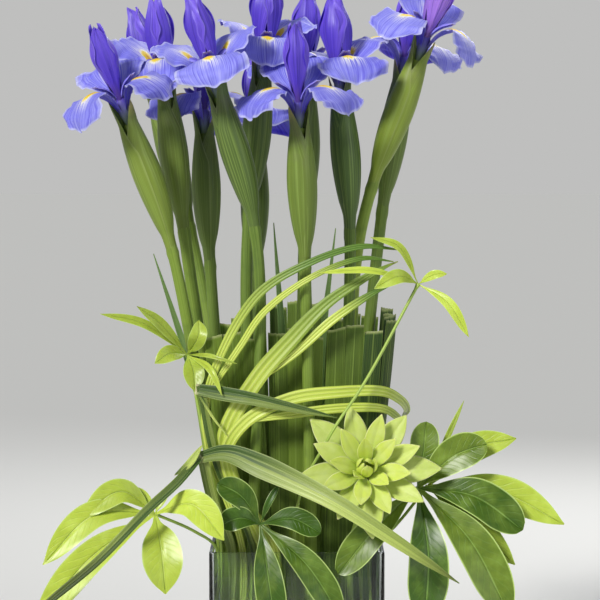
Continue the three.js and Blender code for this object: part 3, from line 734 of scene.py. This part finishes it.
# ---- Cut flax blades ----
# Broad flax blades, cut square, stand edge on edge along the inside of the glass and hide the feet
# of the stems. Each is folded a little along its midrib and frayed at the cut.

FLAX_WIDTH = 16.6
FLAX_PITCH = 14.2
FLAX_TWIST = 42
FLAX_STEP = 0.7
FLAX_FAN = 0.13
FLAX_CUTS = (0, 3, -2)
FLAX_THICKNESS = 1

# The heading of the wall that a group lines, the group's place along it, its distance from the axis,
# its height, its lean sideways and outwards, its number of blades and their tone.
FLAX_GROUPS = {
    "front_left": (-90, -44, 53, 335, (-12, 3), 3, 0.75),
    "front_middle": (-90, -1, 51.8, 338, (0, 4), 3, 0.6),
    "front_right": (-90, 42, 53, 342, (8, 5), 3, 0.25),
    "right_front": (0, -31, 69, 349, (-4, 13), 3, 0.2),
    "right_middle": (0, 12, 67.8, 352, (2, 13), 3, 0.3),
    "right_back": (0, 48, 69, 350, (8, 12), 2, 0.2),
    "back_right": (90, -42, 69, 345, (-8, 14), 3, 0.35),
    "back_middle": (90, 1, 67.8, 356, (0, 14), 3, 0.5),
    "back_left": (90, 44, 69, 340, (8, 13), 3, 0.4),
    "left_back": (180, -43, 69, 330, (-8, 18), 3, 0.5),
}


def flax_group(name, heading, along, start, top, lean, count, tone):
    dice = random.Random(name)
    turn = math.radians(heading)
    out = Vector((math.cos(turn), math.sin(turn), 0))
    side = Vector((-math.sin(turn), math.cos(turn), 0))
    width = outline((1, 1, 1, 0.93), FLAX_WIDTH)
    bm = leafwork()
    for index in range(count):
        offset = (index - (count - 1) / 2) * FLAX_PITCH
        away = start - index % 2 * FLAX_STEP
        high = top + FLAX_CUTS[index]
        points = [
            (along + offset, away, STEM_FOOT),
            (along + offset, away, UNDER_RIM),
            (along + offset + 0.4 * lean[0], away + 0.35 * lean[1], (RIM + high) / 2),
            (along + offset + lean[0] + FLAX_FAN * offset, away + lean[1], high),
        ]
        spine = Spine(*(side * s + out * d + Vector((0, 0, z)) for s, d, z in points))
        slant = dice.uniform(-0.005, 0.005)
        fray = [dice.uniform(-0.002, 0.001) for _ in range(12)]
        facing_front = math.radians(dice.uniform(0.8, 1.1) * FLAX_TWIST) * -out.x

        def place(u, v):
            v = v * (1 + slant * u + fray[int((u + 1) * 5)] * ease(v, 0.97, 1) - 0.006)
            twist = facing_front * ease(v, 0.42, 0.9)
            across = math.cos(twist) * side - math.sin(twist) * out
            return leaf_place(spine, width, across, cup=0.06, crease=0.05)(u, v)

        sheet(bm, 10, 60, place, FLAX_THICKNESS, tint=tone + dice.uniform(-0.3, 0.3))
    piece(f"flax_blades_{name}", bm, [FLAX_FINISH], "flax_blade", f"flax_{name}")


FLAX_FINISH, flow, across, along, tint = leaf_finish("flax_skin")
lines = streaks(flow, across, along, tint, 20, 3)
colour = (tint + (blotches(flow, 0.04) - 0.5) * 0.5).mix(rgb(36, 62, 12), rgb(112, 136, 38))
colour = (lines.smooth(0.5, 0.7) * 0.5).mix(colour, rgb(126, 150, 60))
colour = (lines.smooth(0.45, 0.3) * 0.6).mix(colour, rgb(26, 44, 10))
rib = abs(across).smooth(0.1, 0.02).math("MAXIMUM", abs(across).smooth(0.93, 1))
colour = (rib * 0.4).mix(colour, rgb(138, 162, 74))
colour = (along.smooth(0.99, 1) * 0.8).mix(colour, rgb(176, 186, 122))
living(flow, colour, 0.45 + 0.2 * lines, lines, 0.0008, coat=0.05)

for name, values in FLAX_GROUPS.items():
    flax_group(name, *values)

# ---- Lily grass ----
# Long ribbons of lily grass rise from the front of the vase and arch over to the right. Each has a
# few raised ribs, and its second strand parts from the first at the bend.

LANE = -68.3
UNDER_WATER = 0.6 * RIM
RIBBON_THICKNESS = 1.1
RIB_HEIGHT = 0.15

# Each leaf's foot along the front wall, its strands' tones, and each strand's line and widths. The
# first strand starts at the foot.
GRASSES = {
    "lily_grass_top": (-46.5, (0.3, 0.15), [
        ([(-46.5, LANE, 152), (-75, -71, 240), (-76, -72, 286), (-35, -78, 368), (12, -84, 398),
          (54, -82, 411), (88, -76, 408)], (5, 6, 6, 6, 6.5, 7, 7, 7, 8, 8, 7, 6, 5, 0.9)),
        ([(-76, -72, 284), (-48, -74, 326), (-28, -76, 355), (14, -82, 386), (56, -79, 401),
          (82, -74, 398)], (3.5, 5.5, 6, 6, 5.5, 5, 4.5, 0.9)),
    ]),
    "lily_grass_middle": (-29, (0.55, 0.35), [
        ([(-29, LANE, 152), (-54, -68.8, 208), (-61, -73, 248), (-35, -77, 297), (-6, -79, 331),
          (28, -79, 365), (74, -75, 393), (86, -71, 398)],
         (6, 7, 9, 12, 13.5, 14.5, 14.5, 14.5, 13, 10, 7, 0.9)),
        ([(-34, -77, 296), (-4, -77, 318), (32, -77, 350), (66, -75, 372), (84, -73, 380)],
         (3.5, 6, 7.5, 7.5, 6, 0.9)),
    ]),
    "lily_grass_low": (-19.5, (0.9, 0.75), [
        ([(-19.5, LANE, 152), (-50, -74, 200), (-60, -79, 236), (-44, -82, 262), (-6, -84, 282),
          (36, -84, 288), (72, -76, 288), (88, -52, 279), (96, -10, 266), (93, 30, 256)],
         (6, 7, 8.5, 9.5, 11, 11, 11, 11, 11, 11, 10, 9, 8, 7, 5, 0.9)),
        ([(-43, -82, 263), (-4, -83, 269), (36, -83, 274), (72, -73, 273), (86, -52, 264),
          (92, -30, 256)], (3.5, 6, 8, 8, 8, 7, 6, 0.9)),
    ]),
}


def ribbon(name, foot, tones, strands, finish, slot):
    bm = leafwork()
    for index, (points, widths) in enumerate(strands):
        if index == 0:
            points = [(foot, LANE, STEM_FOOT), (foot, LANE, UNDER_WATER), *points]
            widths = (widths[0], widths[0], *widths)
        spine = Spine(*points)

        def ribs(u, v):
            return RIB_HEIGHT * math.cos(3 * math.pi * u) * (1 - v**8)

        place = leaf_place(spine, outline(widths), facing(0, -1, 0.1), cup=0.2, ripple=ribs)
        rows = int(spine.length / 3.5)
        sheet(bm, 14, rows, place, RIBBON_THICKNESS, tint=tones[index])
    piece(f"ribbon_{name}", bm, [finish], slot, name)


GRASS_FINISH, flow, across, along, tint = leaf_finish("grass_skin")
lines = streaks(flow, across, along, tint, 10, 2)
groove = (across * (3 * math.pi)).math("COSINE") * 0.5 + 0.5
green = along.smooth(0.56, 0.88) * tint.smooth(1.1, 0.3) + (lines - 0.5) * 0.5
fine = streaks(flow, across, along, tint, 30, 2, detail=2)
colour = green.mix(rgb(204, 220, 88), rgb(86, 126, 38))
# Painted shade darkens the grooves between the ribs, and a painted highlight lightens their crests.
colour = (groove.smooth(0.5, 0) * 0.3).mix(colour, green.mix(rgb(140, 168, 56), rgb(56, 88, 30)))
crest = groove.smooth(0.7, 1) * lines.smooth(0.3, 0.6) * 0.5
colour = crest.mix(colour, green.mix(rgb(238, 246, 160), rgb(150, 178, 90)))
colour = (fine.smooth(0.5, 0.62) * 0.5).mix(colour, green.mix(rgb(142, 166, 58), rgb(58, 90, 30)))
colour = (along.smooth(0.97, 1) * 0.5).mix(colour, rgb(190, 186, 110))
# Below the vase's rim the grass takes painted shade.
colour = shaded_below_rim(flow, colour)
height = groove * 0.5 + lines * 0.5
living(flow, colour, 0.34 + 0.15 * lines, height, 0.0007, coat=0.15)

for name, (foot, tones, strands) in GRASSES.items():
    ribbon(name, foot, tones, strands, GRASS_FINISH, "grass")

# ---- Folded flax leaves ----
# Two long flax leaves are bent sharply over the stems at the left. From each fold one arm runs down
# to the right, and the lower leaf's other arm hangs to the left.

FOLDED = {
    "flax_leaf_low": (-56, (0.45, 0.68, 0.3, 1.0), [
        ([(-56, LANE, 152), (-71, -75, 192), (-81, -85, 238)], (6, 8, 9, 9)),
        ([(-87, -84, 231), (-60, -93, 237), (-31, -108, 228), (28, -138, 203), (75, -153, 175),
          (134, -158, 136)], (8, 15, 20, 18, 15, 13, 11, 7.5, 0.8)),
        ([(-80, -84.5, 236), (-100, -104, 214), (-124, -120, 193), (-166, -136, 151),
          (-212, -146, 113), (-228, -148, 97)], (7, 8, 8, 7.5, 7, 6, 0.8)),
        ([(-103, -101, 219), (-92, -95, 227), (-80, -88, 243)], (0.8, 5, 6.5, 5, 0.8)),
    ], "grass"),
    "flax_leaf_high": (-37.5, (0.3, 0.25, 0.95), [
        ([(-37.5, LANE, 152), (-68, -76, 226), (-82, -79.5, 293)], (4, 5, 6, 7, 7)),
        ([(-86, -78.6, 290), (-60, -84, 286), (-40, -89, 283), (-6, -94, 276), (34, -93, 267)],
         (9, 12, 11, 9, 6, 0.8)),
        ([(-83, -79, 286), (-71, -82, 266), (-60, -84, 252)], (3, 2.5, 2, 1)),
    ], "flax_dark"),
}

FOLDED_FINISH, flow, across, along, tint = leaf_finish("folded_flax_skin")
lines = streaks(flow, across, along, tint, 14, 2)
fine = streaks(flow, across, along, tint, 34, 2, detail=2)
# One half of each leaf across its midrib is painted darker: painted shade on the facet turned from the light.
shaded_half = across.smooth(-0.08, 0.08) * 0.3
ripe = tint * (0.35 + along.smooth(0.1, 0.55) * 0.8) + (lines - 0.5) * 0.2 - shaded_half
colour = ripe.mix(rgb(58, 86, 24), rgb(200, 216, 108))
colour = (lines.smooth(0.54, 0.66) * 0.35).mix(colour, rgb(206, 222, 142))
colour = (fine.smooth(0.5, 0.38) * 0.45).mix(colour, rgb(60, 92, 32))
colour = (abs(across).smooth(0.94, 1) * 0.5).mix(colour, rgb(206, 220, 140))
colour = (along.smooth(0.035, 0) * 0.8).mix(colour, rgb(206, 200, 150))
# Below the vase's rim the folded leaves take painted shade.
colour = shaded_below_rim(flow, colour)
living(flow, colour, 0.38 + 0.15 * lines, lines * 0.6 + fine * 0.4, 0.0007, coat=0.15)

for name, (foot, tones, strands, slot) in FOLDED.items():
    ribbon(name, foot, tones, strands, FOLDED_FINISH, slot)

# ---- Schefflera sprays ----
# A spray is a long round leaf stalk with glossy leathery leaflets spread from its end. Each leaflet
# has a sunken midrib, arched side veins and a paler edge, partly a painted highlight.

STALK_RADIUS = 1.3
LEAFLET_THICKNESS = 1

# Foot in the lane, stalk above the rim, hub, tone, record slot, and each leaflet's tip, middle and
# width.
SPRAYS = {
    "upper_left": (-64.5, [(-70, -62, 190), (-80, -57, 250)], (-94, -48, 317), 0.7, "leaf_light", [
        ((-168, -62, 353), (-130, -60, 344), 8),
        ((-136, -72, 360), (-118, -64, 346), 10),
        ((-84, -54, 347), (-84, -60, 334), 15),
        ((-121, -70, 311), (-108, -64, 319), 15),
        ((-87, -68, 287), (-88, -62, 303), 18),
        ((-50, -88, 312), (-73, -80, 318), 4),
        ((-63, -88, 285), (-73, -82, 306), 6),
    ]),
    "upper_right": (-3, [(4, -84, 205), (21, -99, 240), (32, -104, 260), (58, -92, 298)], (103, -76, 379),
                    0.8, "leaf_light", [
        ((62, -86, 419), (86, -86, 411), 7),
        ((18, -90, 389), (62, -90, 391), 6),
        ((65, -96, 376), (86, -92, 386), 13),
        ((127, -84, 388), (116, -82, 387), 8),
        ((145, -92, 335), (127, -88, 364), 10),
    ]),
    "lower_left": (-68.5, [(-86, -79, 168)], (-120, -91, 185), 0.75, "leaf_light", [
        ((-181, -104, 184), (-148, -98, 205), 22),
        ((-213, -114, 145), (-170, -104, 186), 25),
        ((-222, -128, 92), (-172, -118, 152), 28),
        ((-110, -118, 121), (-113, -112, 154), 34),
        ((-61, -116, 166), (-88, -106, 195), 26),
        ((-134, -86, 207), (-128, -88, 198), 8),
        ((-108, -86, 207), (-114, -88, 198), 8),
    ]),
    "middle": (-11, [(-19, -78, 166)], (-31, -88, 176), -0.08, "leaf_dark", [
        ((-67, -88, 211), (-47, -90, 200), 22),
        ((-64, -96, 176), (-48, -95, 182), 20),
        ((-18, -106, 92), (-24, -104, 132), 25),
        ((37, -108, 100), (8, -104, 144), 25),
        ((20, -102, 170), (-4, -98, 182), 20),
        ((-16, -88, 208), (-24, -90, 194), 6),
    ]),
    "right": (56, [(72, -77, 172)], (103, -80, 206), 0.15, "leaf_dark", [
        ((161, -86, 244), (134, -84, 234), 30),
        ((191, -96, 172), (150, -90, 200), 33),
        ((178, -104, 104), (146, -98, 164), 34),
        ((108, -106, 98), (111, -100, 150), 34),
        ((110, -76, 262), (108, -78, 238), 24),
        ((35, -94, 134), (66, -92, 172), 27),
    ]),
    "right_back": (64, [(84, -70, 172)], (112, -66, 206), 0.62, "leaf_light", [
        ((187, -70, 247), (150, -68, 238), 25),
        ((227, -82, 175), (172, -74, 202), 29),
        ((185, -86, 141), (152, -78, 172), 24),
        ((143, -62, 279), (128, -64, 246), 5),
    ]),
}
LEAFLET_OUTLINE = (0.08, 0.22, 0.58, 0.85, 0.98, 1, 0.86, 0.55, 0.03)
BLUNT_OUTLINE = (0.08, 0.2, 0.5, 0.78, 0.95, 1.02, 1.03, 1.01, 0.96)
BLUNT_FROM = 0.7


def blunt_outline(width):
    """The widths of a leaflet whose tip is rounded off."""
    full = outline(BLUNT_OUTLINE, width)

    def rounded(share):
        beyond = max(share - BLUNT_FROM, 0) / (1 - BLUNT_FROM)
        return full(share) * max(1 - beyond * beyond, 0.001) ** 0.5

    return rounded


def spray(name, foot, bends, hub, tone, slot, leaflets):
    dice = random.Random(name)
    bm = leafwork()
    inside = [(foot, LANE, height) for height in (STEM_FOOT, UNDER_WATER, RIM + 2)]
    spine = Spine(*inside, *bends, hub)

    def stalk_radius(v, turn):
        return STALK_RADIUS + 0.9 * ease(v, 0.985, 1)

    tube(bm, spine, stalk_radius, int(spine.length / 5), sides=10, tint=tone, finish=1)
    for tip, middle, width in leaflets:
        leaflet = Spine(hub, middle, tip)
        side = facing(0, -1, 0.35)(Vector(tip) - Vector(hub))
        phase = dice.uniform(0, 6.28)

        def surface(u, v):
            groove = -0.03 * width * math.exp(-((u / 0.08) ** 2))
            wave = 0.02 * width * abs(u) * math.sin(16 * v + phase + u)
            return (groove + wave) * ease(v, 0, 0.25)

        form = blunt_outline(width) if slot == "leaf_dark" else outline(LEAFLET_OUTLINE, width)
        shape = leaf_place(leaflet, form, side, cup=0.14, ripple=surface, crease=0.1)
        sheet(bm, 16, 40, shape, LEAFLET_THICKNESS, tint=tone + dice.uniform(-0.15, 0.15))
    finishes = [LEAFLET_FINISH, STALK_FINISH]
    piece(f"spray_{name}", bm, finishes, slot, f"schefflera_{name}")


LEAFLET_FINISH, flow, across, along, tint = leaf_finish("leaflet_skin")
reach = abs(across)
patch = blotches(flow, 0.014)
bend = along * 12 - reach * 2.4 + patch
vein = (abs(bend.math("FRACT") - 0.5)).smooth(0.16, 0.0) * reach.smooth(0.02, 0.2) * reach.smooth(1, 0.6)
rib = reach.smooth(0.075, 0.02)
ripe = tint + (patch - 0.5) * 0.4
colour = ripe.mix(rgb(58, 90, 12), rgb(202, 222, 78))
colour = (patch.smooth(0.5, 0.72) * 0.3).mix(colour, ripe.mix(rgb(70, 124, 38), rgb(214, 234, 116)))
colour = (vein * 0.13).mix(colour, ripe.mix(rgb(98, 146, 66), rgb(222, 238, 140)))
colour = (rib * 0.5).mix(colour, ripe.mix(rgb(140, 178, 92), rgb(226, 236, 142)))
# The pale edge is partly the leaflet's own margin, partly a painted highlight along it.
colour = (reach.smooth(0.91, 0.98) * 0.75).mix(colour, rgb(196, 222, 130))
height = rib * -1 - vein * 0.3 + patch * 0.2
living(flow, colour, 0.32 + 0.16 * patch, height, 0.0008, coat=0.2)

STALK_FINISH = blade_finish("leaf_stalk_skin", rgb(96, 130, 46), rgb(176, 204, 92), rgb(196, 216, 120), 6)
for name, values in SPRAYS.items():
    spray(name, *values)

# ---- Rosette ----
# A succulent rosette on a short stalk: thick pale leaves set in a spiral, long and flat outside and
# short and upright at the heart, each ending in a small point.

ROSETTE_CENTRE = Vector((58, -94, 222))
ROSETTE_TILT = 20
ROSETTE_LEAVES = 26
ROSETTE_RADIUS = 64
ROSETTE_WIDTH = 21
ROSETTE_THICKNESS = 5
ROSETTE_STALK = [(46, -66.5, STEM_FOOT), (46, -66.5, UNDER_WATER), (46, -66.5, RIM + 3), (54, -80, 188)]
ROSETTE_STALK_RADIUS = 2.6
ROSETTE_HEART = 9
GOLDEN_ANGLE = 137.5
ROSETTE_OUTLINE = (0.36, 0.5, 0.74, 0.94, 1.03, 1, 0.82, 0.48, 0.02)


def seated(x, y, z):
    """Where a point of the upright rosette comes to be when it is tilted forward in its place."""
    tilt = math.radians(90 - ROSETTE_TILT)
    back, rise = y * math.cos(tilt) - z * math.sin(tilt), y * math.sin(tilt) + z * math.cos(tilt)
    return ROSETTE_CENTRE + Vector((x, back, rise))


ROSETTE_FINISH, flow, across, along, tint = leaf_finish("succulent_skin")
reach = abs(across)
patch = blotches(flow, 0.01)
colour = tint.mix(rgb(214, 228, 88), rgb(186, 204, 98))
colour = (patch.smooth(0.42, 0.68) * 0.4).mix(colour, rgb(212, 224, 140))
# Each leaf is painted a darker green towards its base: painted shade deep in the rosette.
colour = (along.smooth(0.5, 0.1) * 0.5).mix(colour, rgb(140, 172, 62))
edge = reach.smooth(0.86, 0.98).math("MAXIMUM", along.smooth(0.95, 0.99))
colour = (edge * 0.6).mix(colour, rgb(234, 240, 176))
colour = along.smooth(0.985, 1).mix(colour, rgb(176, 130, 84))
bloom = (patch * 0.4 + 0.1) * reach.smooth(1, 0.3)
colour = (bloom * 0.35).mix(colour, rgb(226, 232, 184))
living(flow, colour, 0.5, patch, 0.0006, soft=0.3, glow=(0.5, 0.6, 0.15))

dice = random.Random(5)
bm = leafwork()
for index in range(ROSETTE_LEAVES):
    age = 1 - index / ROSETTE_LEAVES
    length = ROSETTE_RADIUS * (0.4 + 0.62 * age**0.8) * dice.uniform(0.95, 1.02)
    rise = math.radians(84 - 77 * age**0.6)
    turn = math.radians(GOLDEN_ANGLE * index)
    out, up = length * math.cos(rise), length * math.sin(rise)
    radial = Vector((math.cos(turn), math.sin(turn), 0))
    closed = ease(age, 0.34, 0.08)
    middle, end = out * 0.5 * (1 - closed) + 6.5 * closed, out * (1 - closed) + 1.5 * closed
    path = [radial * r + Vector((0, 0, z)) for r, z in ((4, 0), (middle, 0.42 * up), (end, up))]
    side = seated(-math.sin(turn), math.cos(turn), 0) - ROSETTE_CENTRE
    width = ROSETTE_WIDTH * (0.42 + 0.68 * age) * dice.uniform(0.94, 1.04)
    thick = ROSETTE_THICKNESS * (0.5 + 0.5 * age)

    def channel(u, v):
        return -0.05 * width * math.exp(-((u / 0.3) ** 2)) * ease(v, 0.1, 0.5) * ease(v, 1, 0.8)

    def depth(u, v):
        return thick * (1 - u * u) * (1 - v**6)

    spine = Spine(*(seated(*point) for point in path))
    shape = leaf_place(spine, outline(ROSETTE_OUTLINE, width), side, cup=0.24, ripple=channel)
    sheet(bm, 14, 22, shape, depth, tint=age)
heart = bmesh.ops.create_uvsphere(bm, u_segments=16, v_segments=10, radius=ROSETTE_HEART)["verts"]
bmesh.ops.translate(bm, vec=seated(0, 0, -3), verts=heart)
stalk = Spine(*ROSETTE_STALK, ROSETTE_CENTRE + Vector((0, 6, 0)))
tube(bm, stalk, lambda v, turn: ROSETTE_STALK_RADIUS, 50, sides=12, tint=0.9, finish=1)
piece("succulent_rosette", bm, [ROSETTE_FINISH, STALK_FINISH], "rosette_leaf", "rosette", sharp=180)

# ---- Room ----
# A pale floor under one large soft lamp high on the left, with a weaker one on the right and one
# behind. What lies beyond the floor is as pale as the floor itself.

FLOOR_SIZE = 60


def lamp(name, kind, place, aim, size, strength, colour):
    light = bpy.data.lights.new(name, kind)
    if kind == "SUN":
        light.angle = math.radians(size)
    else:
        light.size = size
    light.energy = strength
    light.color = colour
    made = bpy.data.objects.new(name, light)
    made.location = place
    made.rotation_euler = (Vector(aim) - Vector(place)).to_track_quat("-Z", "Y").to_euler()
    bpy.context.scene.collection.objects.link(made)


bm = bmesh.new()
bmesh.ops.create_grid(bm, x_segments=1, y_segments=1, size=FLOOR_SIZE / 2)
mesh = bpy.data.meshes.new("floor")
bm.to_mesh(mesh)
bm.free()
finish, flow = new_finish("pale_floor")
values = {"Base Color": rgb(216, 216, 214), "Roughness": 1, "Specular IOR Level": 0}
surface = flow.node("ShaderNodeBsdfPrincipled", {}, values)
flow.node("ShaderNodeOutputMaterial", {}, {"Surface": surface})
mesh.materials.append(finish)
made = bpy.data.objects.new("floor", mesh)
bpy.context.scene.collection.objects.link(made)

world = bpy.data.worlds.new("studio")
world.use_nodes = True
world.node_tree.nodes.clear()
flow = Flow(world.node_tree)
seen = flow.node("ShaderNodeLightPath", {}, {}, "Is Camera Ray")
through = seen.out("Is Transmission Ray")
dim = flow.node("ShaderNodeBackground", {}, {"Color": rgb(222, 226, 232), "Strength": 0.3})
pale = flow.node("ShaderNodeBackground", {}, {"Color": rgb(191, 191, 190), "Strength": 1})
both = flow.node("ShaderNodeMixShader", {}, {0: seen.math("MAXIMUM", through), 1: dim, 2: pale})
flow.node("ShaderNodeOutputWorld", {}, {"Surface": both})
bpy.context.scene.world = world
bpy.context.scene.view_settings.view_transform = "Standard"

lamp("key", "SUN", (-1.25, -1.7, 1.7), (0, 0, 0.36), size=14, strength=2.9, colour=(1, 0.985, 0.95))
lamp("fill", "SUN", (1.7, -1.5, 0.9), (0, 0, 0.35), size=40, strength=0.6, colour=(0.95, 0.97, 1))
lamp("rim", "AREA", (0.6, 1.5, 1.4), (0, 0, 0.45), size=1, strength=16, colour=(1, 1, 1))

# ---- Camera ----
# A long lens two and a half metres in front, a little above the middle of the arrangement.

CAMERA_AIM = Vector((0.0027, 0, 0.3615))
CAMERA_DISTANCE = 2.5
CAMERA_RISE = 3
CAMERA_LENS = 171.5
CAMERA_SENSOR = 36

data = bpy.data.cameras.new("camera")
data.lens, data.sensor_width = CAMERA_LENS, CAMERA_SENSOR
made = bpy.data.objects.new("camera", data)
rise = math.radians(CAMERA_RISE)
made.location = CAMERA_AIM + CAMERA_DISTANCE * Vector((0, -math.cos(rise), math.sin(rise)))
made.rotation_euler = (CAMERA_AIM - made.location).to_track_quat("-Z", "Y").to_euler()
bpy.context.scene.collection.objects.link(made)
bpy.context.scene.camera = made
